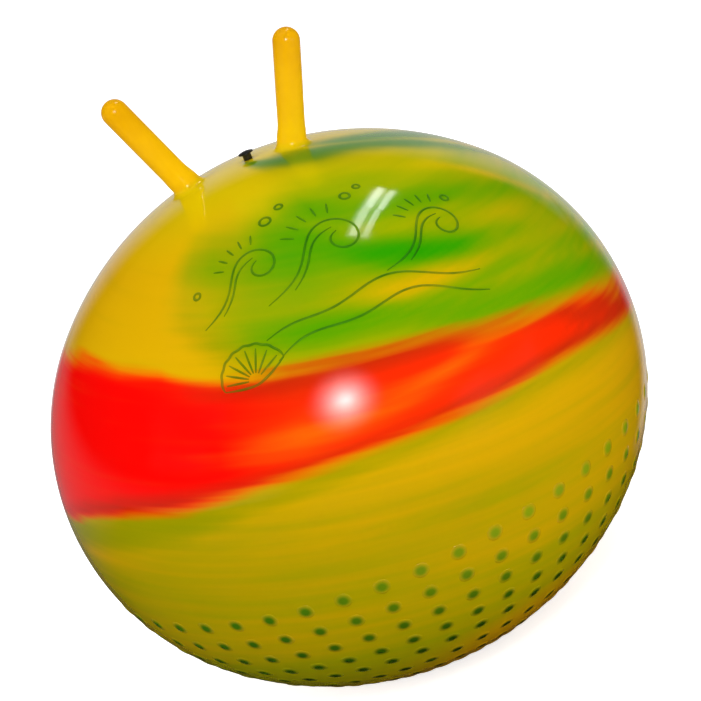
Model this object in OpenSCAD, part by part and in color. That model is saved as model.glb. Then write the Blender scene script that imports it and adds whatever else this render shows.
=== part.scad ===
// Hopper ball: a blown-up vinyl ball with two horns to hold, a stopper and rows of grip nubs.
// Lengths are in millimetres and angles in degrees. Z is up, X runs along the pair of horns,
// and the origin is on the floor under the middle of the ball.

/* [Ball] */
// Width of the blown-up ball across its middle
ball_d = 550; // [450:5:650]
// Height of the ball as a share of its width, before its weight flattens the foot
height_share = 0.90; // [0.85:0.01:0.96]
// Thickness of the vinyl skin
skin_t = 1; // [0.8:0.1:2.5]
// Width of the flat that the ball's own weight presses into its foot
foot_d = 72; // [50:1:110]

/* [Horns] */
// Thickness across each horn
horn_d = 24.5; // [20:0.5:32]
// Length of each horn along its middle, from the skin to the tip
horn_l = 106; // [85:1:140]
// Distance between the middles of the horns where they leave the skin
horn_gap = 100; // [80:1:140]
// Lean of each horn away from upright
horn_lean = 20; // [12:1:30]
// Thickness of the wall of each horn
horn_t = 2.2; // [1.4:0.1:3.5]
// Height of the soft root, from the skin to where the straight part of the horn begins
root_h = 20; // [15:1:28]
// Thickness across the root at the skin, before its foot sweeps out
root_d = 27.5; // [25:0.5:34]

/* [Valve] */
// Distance of the valve from the top of the ball, toward the right horn
valve_x = 9; // [0:0.5:12]
// Width of the hole that takes the stopper
valve_d = 8; // [6:0.1:10]
// Width of the stopper's head
plug_head_d = 13.8; // [12:0.1:18]
// Length of the stopper's neck between the skin and the head
plug_neck_h = 5.4; // [3:0.1:8]
// Length of the stopper's stem below the outside of the skin
plug_stem_l = 15; // [10:0.5:22]

/* [Grip nubs] */
// Number of nubs in each row
nub_count = 48; // [24:2:60]
// Width of each nub
nub_d = 10.5; // [6:0.5:12]
// Height of each nub above the skin
nub_h = 0.9; // [0.5:0.1:2]
// Slope of the skin at the uppermost row, where 0 is upright and 90 is the foot
row_top_a = 17.5; // [10:0.5:25]
// Change of slope from one row to the next
row_step_a = 6.7; // [5:0.1:8]

/* [Hidden] */
$fn = 96;
// Number of sides that the preview gives to the large balls
fine = 360;
// Overrun of every cut past the face that it opens
over = 1;
// The ball's outline is an oval of four arcs: one on each side, and one over and under them
ball_r = ball_d / 2;
pole_r = ball_r * height_share;
arc_off = (ball_r - pole_r) / (2 - sqrt(2));
side_r = ball_r - arc_off;
cap_r = pole_r + arc_off;
seam_a = 45;
foot_r = foot_d / 2;
mid_z = sqrt(cap_r * cap_r - foot_r * foot_r) - arc_off;
cap_z = mid_z - arc_off;
reach = 2 * ball_d;

// Where the middle of each horn leaves the skin, and the lean of the skin there
horn_r = horn_d / 2;
horn_bore_r = horn_r - horn_t;
horn_x = horn_gap / 2;
horn_z = cap_z + sqrt(cap_r * cap_r - horn_x * horn_x);
horn_skin_a = asin(horn_x / cap_r);
dome_z = horn_l - horn_r;
// The root's sweep: radius of its hollow side, and how far its foot spreads past the root
root_r = root_d / 2;
sweep_r = 7;
sweep_reach = 6;
sweep_foot_r = root_r + sweep_reach;
// Depth that a root runs below its middle before the skin trims it
root_sink = 8;

// Valve: the level of the skin there, the socket inside the skin and the stopper
valve_r = valve_d / 2;
valve_z = cap_z + sqrt(cap_r * cap_r - valve_x * valve_x);
boss_r = 13;
boss_h = 14;
// Hair of room between the socket and the skin, which squashes past it
boss_seat = 0.3;
plug_fit = 0.05;
plug_r = valve_r - plug_fit;
plug_core_r = 3.3;
plug_tip_r = 2.5;
plug_tip_h = 2.5;
plug_head_r = plug_head_d / 2;
plug_rim_h = 1.1;
plug_dome_h = 1.3;
plug_dome_r = (plug_dome_h * plug_dome_h + plug_head_r * plug_head_r) / (2 * plug_dome_h);
// Sealing beads on the stem, and the plain part of the stem that starts the neck
bead_count = 3;
bead_h = 1.6;
bead_step = 3.2;
bead_top_z = -2.4;

// Nub: a low stud of twelve flat sides, narrower at its top, with a hair of room under its base
nub_sides = 12;
nub_r = nub_d / 2;
nub_top_share = 0.7;
nub_seat = 0.02;

// Colours
sun_yellow = [0.83, 0.64, 0.03];
horn_yellow = [0.95, 0.72, 0.05];
leaf_green = [0.24, 0.42, 0.04];
soft_black = [0.04, 0.04, 0.04];

// A slice of a disc between two angles less than half a turn apart
module slice(r, from, to) {
    intersection() {
        circle(r = r);
        polygon([
            [0, 0],
            [reach * cos(from), reach * sin(from)],
            [reach * cos(to), reach * sin(to)]
        ]);
    }
}

// Right half of the ball's outline, drawn in by an inset and standing on a flat foot
module half_oval(inset) {
    intersection() {
        translate([0, mid_z]) {
            translate([arc_off, 0])
                slice(side_r - inset, -seam_a, seam_a);
            translate([0, -arc_off])
                slice(cap_r - inset, seam_a, 2 * seam_a);
            translate([0, arc_off])
                slice(cap_r - inset, -2 * seam_a, -seam_a);
        }
        translate([0, inset])
            square([reach, reach]);
    }
}

// Places its children at a horn's foot, with Z along the horn
module at_horn(side) {
    translate([side * horn_x, 0, horn_z])
        rotate([0, side * horn_lean, 0])
            children();
}

// Places its children at a horn's foot, with Z square to the skin
module at_root(side) {
    translate([side * horn_x, 0, horn_z])
        rotate([0, side * horn_skin_a, 0])
            children();
}

// Skin with the two ports into the horns and the hole for the stopper
module ball_skin() {
    color(sun_yellow)
        difference() {
            rotate_extrude()
                difference() {
                    half_oval(0);
                    half_oval(skin_t);
                }
            for (side = [-1, 1])
                at_horn(side)
                    translate([0, 0, -root_sink])
                        cylinder(r = horn_bore_r, h = 2 * root_sink);
            translate([valve_x, 0, valve_z - root_sink])
                cylinder(r = valve_r, h = 2 * root_sink);
        }
}

// Soft root: a short tapered tube, swept out at its foot and trimmed to lie on the skin
module horn_root(side) {
    color(horn_yellow)
        difference() {
            union() {
                at_horn(side)
                    translate([0, 0, -root_sink])
                        cylinder(r = root_r, h = root_sink);
                at_horn(side)
                    cylinder(r1 = root_r, r2 = horn_r, h = root_h);
                at_root(side)
                    rotate_extrude()
                        difference() {
                            translate([0, -root_sink])
                                square([sweep_foot_r, root_sink + sweep_r]);
                            translate([sweep_foot_r, sweep_r])
                                circle(r = sweep_r);
                        }
            }
            at_horn(side)
                translate([0, 0, -2 * root_sink])
                    cylinder(r = horn_bore_r, h = 2 * root_sink + root_h + over);
            translate([0, 0, cap_z])
                sphere(r = cap_r, $fn = fine);
        }
}

// Outline of a round-ended rod above the root
module rod_half(r, start_z) {
    translate([0, start_z])
        square([r, dome_z - start_z]);
    translate([0, dome_z])
        slice(r, 0, 2 * seam_a);
}

// Hollow horn with a closed round end
module horn(side) {
    color(horn_yellow)
        at_horn(side)
            rotate_extrude()
                difference() {
                    rod_half(horn_r, root_h);
                    rod_half(horn_bore_r, root_h - over);
                }
}

module horn_root_left() {
    horn_root(-1);
}

module horn_root_right() {
    horn_root(1);
}

module horn_left() {
    horn(-1);
}

module horn_right() {
    horn(1);
}

// Thick socket on the inside of the skin
module valve_boss() {
    color(sun_yellow)
        difference() {
            intersection() {
                translate([valve_x, 0, valve_z - boss_h])
                    cylinder(r = boss_r, h = boss_h);
                translate([0, 0, cap_z])
                    sphere(r = cap_r - skin_t - boss_seat, $fn = fine);
            }
            translate([valve_x, 0, valve_z - boss_h - over])
                cylinder(r = valve_r, h = boss_h + 2 * over);
        }
}

// Stopper: domed head, neck, core, sealing beads and a tapered tip
module valve_plug() {
    color(soft_black)
        translate([valve_x, 0, valve_z])
            rotate_extrude()
                union() {
                    translate([0, plug_neck_h])
                        square([plug_head_r, plug_rim_h]);
                    translate([0, plug_neck_h + plug_rim_h])
                        intersection() {
                            translate([0, plug_dome_h - plug_dome_r])
                                circle(r = plug_dome_r);
                            square([plug_head_r, plug_head_r]);
                        }
                    translate([0, bead_top_z])
                        square([plug_r, plug_neck_h - bead_top_z]);
                    translate([0, plug_tip_h - plug_stem_l])
                        square([plug_core_r, plug_stem_l - plug_tip_h + bead_top_z]);
                    translate([0, -plug_stem_l])
                        polygon([
                            [0, 0],
                            [plug_tip_r, 0],
                            [plug_core_r, plug_tip_h],
                            [0, plug_tip_h]
                        ]);
                    for (i = [1 : bead_count])
                        translate([0, bead_top_z - i * bead_step])
                            square([plug_r, bead_h]);
                }
}

// One nub: a low stud on a flat base
module nub() {
    cylinder(r1 = nub_r, r2 = nub_r * nub_top_share, h = nub_h, $fn = nub_sides);
}

// A ring of nubs where the skin slopes by the angle of that row
module nub_row(row) {
    a = row_top_a + (row - 1) * row_step_a;
    on_side = a <= seam_a;
    arc_r = nub_seat + (on_side ? side_r : cap_r);
    ring_r = arc_r * cos(a) + (on_side ? arc_off : 0);
    ring_z = mid_z - arc_r * sin(a) + (on_side ? 0 : arc_off);
    color(leaf_green)
        for (i = [0 : nub_count - 1])
            rotate([0, 0, i * 360 / nub_count])
                translate([ring_r, 0, ring_z])
                    rotate([0, 90 + a, 0])
                        nub();
}

module grip_nubs_1() {
    nub_row(1);
}

module grip_nubs_2() {
    nub_row(2);
}

module grip_nubs_3() {
    nub_row(3);
}

module grip_nubs_4() {
    nub_row(4);
}

module grip_nubs_5() {
    nub_row(5);
}

module grip_nubs_6() {
    nub_row(6);
}

module grip_nubs_7() {
    nub_row(7);
}

module grip_nubs_8() {
    nub_row(8);
}

ball_skin();
horn_root_left();
horn_root_right();
horn_left();
horn_right();
valve_boss();
valve_plug();
grip_nubs_1();
grip_nubs_2();
grip_nubs_3();
grip_nubs_4();
grip_nubs_5();
grip_nubs_6();
grip_nubs_7();
grip_nubs_8();
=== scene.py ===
# %% [markdown]
# # A hopper ball, dressed on its CAD frame
# A hopper ball is a blown-up vinyl ball. A child sits on it, holds its two soft horns and bounces. The
# CAD frame gives the sizes, the bodies and the joints. Each cell here makes one piece or one finish over
# that frame, so the frame is loaded first.

# %% Load the frame
import math

import bmesh
import bpy
import numpy as np
from mathutils import Matrix, Vector


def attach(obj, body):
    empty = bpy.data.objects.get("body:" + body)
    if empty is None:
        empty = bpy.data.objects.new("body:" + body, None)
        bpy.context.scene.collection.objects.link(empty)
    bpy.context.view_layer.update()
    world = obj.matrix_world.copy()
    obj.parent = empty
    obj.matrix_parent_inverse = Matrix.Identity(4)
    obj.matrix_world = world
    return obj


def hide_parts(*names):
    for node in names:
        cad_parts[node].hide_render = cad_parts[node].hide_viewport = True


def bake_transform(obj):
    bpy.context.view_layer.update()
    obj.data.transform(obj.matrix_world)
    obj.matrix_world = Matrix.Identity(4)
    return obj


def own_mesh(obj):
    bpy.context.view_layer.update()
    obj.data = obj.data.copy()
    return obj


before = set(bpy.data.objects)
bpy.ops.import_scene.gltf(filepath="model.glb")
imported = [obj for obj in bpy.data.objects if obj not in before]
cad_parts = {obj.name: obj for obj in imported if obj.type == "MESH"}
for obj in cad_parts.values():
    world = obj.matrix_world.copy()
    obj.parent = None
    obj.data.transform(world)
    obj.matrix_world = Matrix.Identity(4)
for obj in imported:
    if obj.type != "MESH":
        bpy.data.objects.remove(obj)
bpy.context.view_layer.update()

# %% [markdown]
# ## Sizes of the ball
# A ball of soft vinyl is lower than it is wide, and stands on a small flat. Its outline is an oval of
# four arcs: a cap over it, a cap under it and one arc at each side. The arcs' radii and centres follow
# from the width and the height, as they do in the CAD model, so that the skin made here lies on the CAD
# skin.

# %% Radii and centres of the four arcs
MM = 0.001
BALL_R = 275 * MM
POLE_R = 0.9 * BALL_R
ARC_OFF = (BALL_R - POLE_R) / (2 - math.sqrt(2))
SIDE_R = BALL_R - ARC_OFF
CAP_R = POLE_R + ARC_OFF
FOOT_R = 36 * MM
SKIN_T = 1 * MM
MID_Z = math.sqrt(CAP_R**2 - FOOT_R**2) - ARC_OFF
OVER_Z = MID_Z - ARC_OFF
UNDER_Z = MID_Z + ARC_OFF
VALVE_X = 9 * MM
VALVE_R = 4 * MM
VALVE_Z = OVER_Z + math.sqrt(CAP_R**2 - VALVE_X**2)
print(f"ball {2000 * BALL_R:.0f} mm wide, its middle {1000 * MID_Z:.1f} mm up")

# %% [markdown]
# ## Camera
# The photograph looks a little down on the ball, and the ball leans to the left in it. A real ball can
# roll over like that, but the part stands upright, so the camera leans instead. A long lens from 2.2 m
# gives the same outline. Turning the camera with three plain rotations is easier to read than one
# finished matrix.

# %% Camera at the photograph's place
# How far the camera goes round the ball, looks down on it and leans, in degrees.
EYE_ROUND, EYE_DOWN, EYE_LEAN = 7.29, 17.149, -24.157
BALL_FROM_EYE = Vector((-2.0, -49.5, -2200.0)) * MM
LENS, SENSOR = 123.42, 36
leaning = (
    Matrix.Rotation(math.radians(EYE_ROUND), 4, "Z")
    @ Matrix.Rotation(math.radians(90 - EYE_DOWN), 4, "X")
    @ Matrix.Rotation(math.radians(EYE_LEAN), 4, "Z")
)
lens = bpy.data.cameras.new("photo_camera")
lens.sensor_width = SENSOR
lens.lens = LENS
eye = bpy.data.objects.new("photo_camera", lens)
eye.matrix_world = Matrix.Translation(Vector((0, 0, MID_Z)) - leaning.to_3x3() @ BALL_FROM_EYE) @ leaning
bpy.context.scene.collection.objects.link(eye)
bpy.context.scene.camera = eye
bpy.context.scene.view_settings.view_transform = "Standard"
print("camera at", [round(v, 3) for v in eye.matrix_world.translation])

# %% [markdown]
# ## One way to add a node, and colours
# Every finish below is a small graph of nodes. One function adds a node, sets its properties and fills
# its sockets with values or with links, so a graph reads from top to bottom. Colours are written as sRGB
# hex, the way a colour picker shows them, and turned to the linear values that the shader works in.


# %% Colour and node helpers
def linear(colour):
    """The linear RGBA of an sRGB hex colour."""
    parts = [int(colour[i : i + 2], 16) / 255 for i in (1, 3, 5)]
    return [p / 12.92 if p <= 0.04045 else ((p + 0.055) / 1.055) ** 2.4 for p in parts] + [1.0]


def node(tree, kind, sockets=None, **settings):
    """Adds a shader node. Each socket gets a value, an output, or a node, for its first output in use."""
    made = tree.nodes.new("ShaderNode" + kind)
    for key, value in settings.items():
        setattr(made, key, value)
    for key, value in (sockets or {}).items():
        if isinstance(value, bpy.types.Node):
            value = [output for output in value.outputs if output.enabled][0]
        if isinstance(value, bpy.types.NodeSocket):
            tree.links.new(value, made.inputs[key])
        else:
            made.inputs[key].default_value = value
    return made


def fresh(name):
    """An empty material and its node tree."""
    material = bpy.data.materials.new(name)
    material.use_nodes = True
    material.node_tree.nodes.clear()
    return material, material.node_tree


WHITE = linear("#FFFFFF")
SMOOTH = "SMOOTHSTEP"
print("white in linear light:", WHITE)

# %% [markdown]
# ## Light
# The ball is as glossy as a balloon, so its highlights are pictures of the lamps. A ceiling window hangs
# above and behind it, in two halves, each with two bright panes in a dimmer frame. One large lamp there
# would show as a plain white patch. Four soft lamps help from above, from both sides and from behind, and
# are hidden from reflections.


# %% Ceiling window and soft lamps
def lamp(name, place, aim, size, watts, shape="RECTANGLE", mirrored=True):
    """A soft lamp at a place, facing an aim, in metres and watts."""
    light = bpy.data.lights.new(name, "AREA")
    light.shape = shape
    light.size, light.size_y = size
    light.energy = watts
    made = bpy.data.objects.new(name, light)
    facing = (Vector(aim) - Vector(place)).to_track_quat("-Z", "Y").to_matrix().to_4x4()
    made.matrix_world = Matrix.Translation(place) @ facing
    made.visible_glossy = mirrored
    bpy.context.scene.collection.objects.link(made)
    return made


WINDOW_Z, WINDOW_L, WINDOW_TURN = 2.45, 0.58, -16
# Panes beside the middle lie square to the turned window and hang a little below its frame.
PANE_BACK_SHARE, PANE_DROP_SHARE = 0.28, 2
# Each half has a name, the place of its middle and a share of the light.
HALVES = (("near", (0.868, 0.44), 0.75), ("far", (1.047, 1.01), 1.0))
# Each part of a half has a name, a place beside the middle, a width and watts.
PARTS = (("frame", 0.0, 0.22, 1.3), ("pane", -0.06, 0.085, 1.7), ("pane_two", 0.068, 0.07, 1.4))
for half, (x, y), share in HALVES:
    for part, aside, wide, watts in PARTS:
        place = (x + aside, y - PANE_BACK_SHARE * aside, WINDOW_Z - PANE_DROP_SHARE * abs(aside))
        below = (place[0], place[1], 0)
        made = lamp(f"ceiling_{part}_{half}", place, below, (wide, WINDOW_L), share * watts)
        made.rotation_euler = (0, 0, math.radians(WINDOW_TURN))
# Each soft lamp has a name, a place, an aim, a size and watts.
SOFT_LAMPS = (
    ("soft_top", (-0.3, 0.2, 2.6), (0, 0, 0.25), (2.4, 2.4), 16),
    ("soft_left", (-2.1, -1.2, 1.6), (0, 0, 0.3), (1.6, 1.6), 22),
    ("soft_back", (0.5, 2.3, 0.8), (0, 0, 0.2), (1.6, 1.6), 24),
    ("soft_right", (2.0, -1.2, 0.3), (0, 0, 0.2), (1.6, 0.5), 17),
)
for name, place, aim, size, watts in SOFT_LAMPS:
    lamp(name, place, aim, size, watts, mirrored=False)

# %% [markdown]
# ## Flash
# The main light is a round flash over the camera, bright in the middle and falling off to its edge. A
# plain disc lamp would show a hard ring in the gloss, so the flash has a small node graph of its own.

# %% Round flash
FLASH_PLACE, FLASH_AIM = (0.285, -2.18, 1.37), (0.034, -0.254, 0.335)
FLASH_D, FLASH_WATTS, FLASH_FALL = 1.3, 180, 2.6
flash = lamp("round_flash", FLASH_PLACE, FLASH_AIM, (FLASH_D, FLASH_D), FLASH_WATTS, "DISK")
flash.data.use_nodes = True
tree = flash.data.node_tree
tree.nodes.clear()
# Parametric places run from 0 to 1 across the lamp.
across = node(tree, "NewGeometry").outputs["Parametric"]
out = node(tree, "VectorMath", {0: across, 1: (0.5, 0.5, 0.0)}, operation="DISTANCE")
inward = node(tree, "MapRange", {"Value": out, "From Max": 0.5, "To Min": 1.0, "To Max": 0.0})
fall = node(tree, "Math", {0: inward, 1: FLASH_FALL}, operation="POWER")
glow = node(tree, "Emission", {"Color": WHITE, "Strength": fall})
node(tree, "OutputLight", {"Surface": glow})
print("flash has", len(tree.nodes), "nodes")

# %% [markdown]
# ## Room and floor
# The background is plain white. The world is white to the camera, and lights the ball from all sides at a
# lower level. In reflections there is a white sheet low behind the ball and a dim room elsewhere: that
# gives the pale edge along the ball's outline and leaves the colours in the middle deep. The floor is a
# wide pale disc. Its own light, seen by the camera, lifts it to white outside the ball's shadow. In
# reflections it is dim near the ball and goes over to the white sheet behind it.

# %% World
ROOM_LEVEL, DARK_LEVEL, SHEET_LEVEL, WALL_LEVEL = 0.30, 0.008, 0.58, 0.2
world = bpy.data.worlds.new("white_room")
bpy.context.scene.world = world
world.use_nodes = True
tree = world.node_tree
tree.nodes.clear()
path = node(tree, "LightPath")
way = node(tree, "TexCoord")
split = node(tree, "SeparateXYZ", {0: way.outputs["Generated"]})
# The sheet fills the directions straight behind the ball.
sheet = {"From Min": 0.81, "From Max": 0.96, "To Min": DARK_LEVEL, "To Max": SHEET_LEVEL}
sheet = node(tree, "MapRange", {"Value": split.outputs["Y"], **sheet}, interpolation_type=SMOOTH)
# A dimmer wall stands low on the left.
side = {"Value": split.outputs["X"], "From Min": -0.3, "From Max": -0.6}
side = node(tree, "MapRange", side, interpolation_type=SMOOTH)
low = {"Value": split.outputs["Z"], "From Min": 0.2, "From Max": 0.0, "To Max": WALL_LEVEL}
low = node(tree, "MapRange", low, interpolation_type=SMOOTH)
wall = node(tree, "Math", {0: side, 1: low}, operation="MULTIPLY")
sheet = node(tree, "Math", {0: sheet, 1: wall}, operation="MAXIMUM")
straight = {0: path.outputs["Is Camera Ray"], 1: path.outputs["Is Transmission Ray"]}
seen = node(tree, "Math", straight, operation="MAXIMUM")
lit = node(tree, "Mix", {0: path.outputs["Is Glossy Ray"], 2: ROOM_LEVEL, 3: sheet})
level = node(tree, "Mix", {0: seen, 2: lit, 3: 1.0})
sky = node(tree, "Background", {"Color": WHITE, "Strength": level})
node(tree, "OutputWorld", {"Surface": sky})
print("world nodes:", len(tree.nodes))

# %% Floor finish
white, tree = fresh("matt_white_floor")
path = node(tree, "LightPath")
glossy = path.outputs["Is Glossy Ray"]
where = node(tree, "TexCoord").outputs["Object"]
# A painted board is almost even, with faint clouds about 25 mm wide. In reflections it is dark.
grain = node(tree, "TexNoise", {"Vector": where, "Scale": 1 / (25 * MM), "Detail": 3.0})
tone = node(tree, "Mix", {0: grain, 6: linear("#E8E8E7"), 7: linear("#EEEEED")}, data_type="RGBA")
dim = node(tree, "Mix", {0: glossy, 6: tone, 7: linear("#181818")}, data_type="RGBA")
matt = node(tree, "BsdfDiffuse", {"Color": dim, "Roughness": 0.4})
print(white.name, "has", len(tree.nodes), "nodes before its glow")

# %% Glow of the floor in reflections
split = node(tree, "SeparateXYZ", {0: where})
# The sheet lies on the floor in a wedge that opens behind the ball.
aside = node(tree, "Math", {0: split.outputs["X"]}, operation="ABSOLUTE")
aside = node(tree, "Math", {0: aside, 1: BALL_R}, operation="SUBTRACT")
aside = node(tree, "Math", {0: aside, 1: 0.05}, operation="MAXIMUM")
behind = node(tree, "Math", {0: split.outputs["Y"], 1: aside}, operation="DIVIDE")
behind = {"Value": behind, "From Min": 1.4, "From Max": 3.2, "To Max": SHEET_LEVEL}
behind = node(tree, "MapRange", behind, interpolation_type=SMOOTH)
# On the right the sheet comes closer to the ball than on the left.
off = node(tree, "MapRange", {"Value": split.outputs["X"], "From Min": 0.15, "From Max": 0.4, "To Max": 1.6})
off = node(tree, "Math", {0: off, 1: split.outputs["Y"]}, operation="ADD")
off = node(tree, "MapRange", {"Value": off, "From Min": 0.8, "From Max": 1.6}, interpolation_type=SMOOTH)
behind = node(tree, "Math", {0: behind, 1: off}, operation="MULTIPLY")
# The foot of the dimmer wall lies on the left.
side = {"Value": split.outputs["X"], "From Min": -0.25, "From Max": -0.8}
side = node(tree, "MapRange", side, interpolation_type=SMOOTH)
beside = {"Value": split.outputs["Y"], "From Min": 0.1, "From Max": 1.0, "To Max": 0.22}
beside = node(tree, "MapRange", beside, interpolation_type=SMOOTH)
beside = node(tree, "Math", {0: side, 1: beside}, operation="MULTIPLY")
far = node(tree, "Math", {0: behind, 1: beside}, operation="MAXIMUM")
far = node(tree, "Math", {0: far, 1: glossy}, operation="MULTIPLY")
print(white.name, "has", len(tree.nodes), "nodes with its glow")

# %% Lift of the floor to white, and the floor
FLOOR_R, FLOOR_DROP = 14.0, 0.2 * MM
straight = {0: path.outputs["Is Camera Ray"], 1: path.outputs["Is Transmission Ray"]}
seen = node(tree, "Math", straight, operation="MAXIMUM")
# Far from the lamps the floor would turn grey, so its own light rises with the distance.
away = node(tree, "VectorMath", {0: where}, operation="LENGTH")
away = node(tree, "MapRange", {"Value": away, "From Min": 1.5, "From Max": 5.0, "To Min": 0.72})
lift = node(tree, "Math", {0: seen, 1: away, 2: far}, operation="MULTIPLY_ADD")
glow = node(tree, "Emission", {"Color": WHITE, "Strength": lift})
lifted = node(tree, "AddShader", {0: matt, 1: glow})
node(tree, "OutputMaterial", {"Surface": lifted})

bm = bmesh.new()
bmesh.ops.create_circle(bm, cap_ends=True, radius=FLOOR_R, segments=96)
bmesh.ops.translate(bm, verts=bm.verts, vec=(0, 0, -FLOOR_DROP))
disc = bpy.data.meshes.new("floor_disc")
bm.to_mesh(disc)
bm.free()
disc.materials.append(white)
floor = bpy.data.objects.new("floor_disc", disc)
bpy.context.scene.collection.objects.link(floor)
print("floor is", round(floor.dimensions.x, 2), "m wide")

# %% [markdown]
# ## Drawing an outline with spin
# Most pieces of this ball are turned shapes: the skin, the horns and the stopper. Their outlines could be
# typed as tables of points. Here one vertex is carried along instead, round an arc's centre or along a
# straight shift, and spin leaves the edges behind it. That is how an outline is drawn by hand, with a
# compass and a ruler.


# %% Outline and piece helpers
def carry(bm, vert, steps, centre=(0, 0, 0), degrees=0.0, shift=(0, 0, 0)):
    """Carries a vertex round a centre in the plane of X and Z, or along a shift. Returns where it ends."""
    made = bmesh.ops.spin(
        bm,
        geom=[vert],
        cent=centre,
        axis=(0, -1, 0),
        dvec=Vector(shift) / steps,
        angle=math.radians(degrees),
        steps=steps,
    )
    return [v for v in made["geom_last"] if isinstance(v, bmesh.types.BMVert)][0]


MERGE = 0.002 * MM


def turn(bm, steps):
    """Turns an outline round the Z axis into a closed skin."""
    bmesh.ops.spin(
        bm,
        geom=bm.verts[:] + bm.edges[:],
        axis=(0, 0, 1),
        angle=2 * math.pi,
        steps=steps,
        use_merge=True,
    )
    bmesh.ops.remove_doubles(bm, verts=bm.verts, dist=MERGE)


def piece(name, bm, material, sharp=180):
    """Turns the faces outwards and makes an object at the origin. Edges sharper than an angle stay crisp."""
    bmesh.ops.recalc_face_normals(bm, faces=bm.faces)
    mesh = bpy.data.meshes.new(name)
    bm.to_mesh(mesh)
    bm.free()
    mesh.shade_smooth()
    mesh.set_sharp_from_angle(angle=math.radians(sharp))
    mesh.materials.append(material)
    made = bpy.data.objects.new(name, mesh)
    bpy.context.scene.collection.objects.link(made)
    print(f"{name}: {len(mesh.polygons)} faces, box {[round(1000 * d, 1) for d in made.dimensions]} mm")
    return made


print(f"points of a turned piece merge within {1000 * MERGE:.3f} mm")

# %% [markdown]
# ## The marbled colours
# The vinyl was coloured in the mould: drops of red, green and teal paste were spun into the yellow, and
# were drawn out round the ball into long soft streaks that fall a little as they go round. A flat picture
# could be wrapped on the ball, but it would pinch at the top. Here each streak is a short table of stops
# by longitude, and its strength at every vertex becomes an attribute of the mesh. The shader later frays
# the edges with noise.

# %% The red band by longitude
# Longitudes run once round the ball from 97 degrees, at the back, to 457. Each stop is a longitude and the
# latitude of the band's edge there, in degrees.
BACK, FRONT = 97, 270
RED_TOP = (
    (97, 3), (125, 14), (150, 27), (181, 38), (208, 41.5), (217, 40.5), (228, 38.4), (241, 36.7),
    (250, 33.5), (256, 31.7), (262, 31), (270, 30.9), (280, 29), (291, 26.6), (299, 24.2), (307, 21),
    (315, 18.7), (325, 16), (336, 13.2), (346, 9.6), (365, 4), (385, -3), (400, -8), (457, -20),
)
RED_FOOT = (
    (97, 15), (125, 9), (150, 5), (181, 5), (204, 7.8), (218, 10.8), (228, 11.6), (243, 11.1), (260, 11.7),
    (271, 11), (278, 10.7), (287, 9.9), (296, 9.1), (307, 7.9), (317, 6.7), (331, 4.1), (340, 2.0),
    (365, -2.2), (385, -5), (400, -6), (457, -10),
)
# How hot the red is, and how crisp its upper edge is, by longitude.
RED_HEAT = (
    (97, 0.5), (150, 0.8), (200, 1.1), (248, 1.0), (258, 0.7), (270, 0.4), (300, 0.3), (330, 0.4),
    (457, 0.3),
)
RED_CRISP = (
    (97, 0.8), (205, 0.45), (222, 0.8), (245, 1.0), (262, 0.65), (320, 0.65), (332, 0.6), (345, 0.35),
    (400, 0.5), (457, 0.8),
)
# In the streaks of this and the next cells each stop is a longitude, the streak's middle latitude and its
# half width, all in degrees, and its strength. Amber lies in the red, and dusk along its edges.
AMBER = (
    (
        (252, 19, 3, 0), (262, 18.6, 3.4, 0.35), (268, 18, 3.4, 0.5), (275, 17.4, 3.2, 0.5),
        (283, 17.2, 2.8, 0.45), (289, 17.1, 2.4, 0.5), (296, 17.4, 2.2, 0.5), (303, 18.2, 2.3, 0.5),
        (311, 19.2, 3, 0.4), (320, 17, 3, 0),
    ),
)
DUSK = (
    (
        (240, 36, 4, 0), (248, 33, 4, 0.3), (258, 31, 4, 0.55), (268, 29.6, 4.8, 0.7),
        (280, 28, 4.8, 0.75), (292, 25.6, 4.6, 0.75), (302, 23, 4, 0.75), (312, 20, 4, 0.7),
        (322, 16.4, 4, 0.6), (331, 9, 5, 0.6), (342, 6, 6, 0.75), (352, 3, 7, 0.7), (380, -4, 6, 0.5),
        (400, -7, 5, 0.3), (457, -15, 4, 0),
    ),
    (
        (190, 7, 2.5, 0), (204, 9.4, 2.6, 0.5), (214, 11.4, 2.6, 0.65), (226, 12.8, 2.5, 0.7),
        (240, 12.8, 2.5, 0.7), (256, 13, 2.1, 0.55), (271, 12.4, 1.9, 0.5), (286, 11.6, 1.7, 0.5),
        (302, 10, 1.9, 0.6), (322, 7.2, 2.4, 0.75), (340, 4, 2.8, 0.75), (352, 1.4, 3, 0.6),
        (380, -4, 3, 0),
    ),
)
print("stops of the red band:", len(RED_TOP), "above and", len(RED_FOOT), "below")

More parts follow.
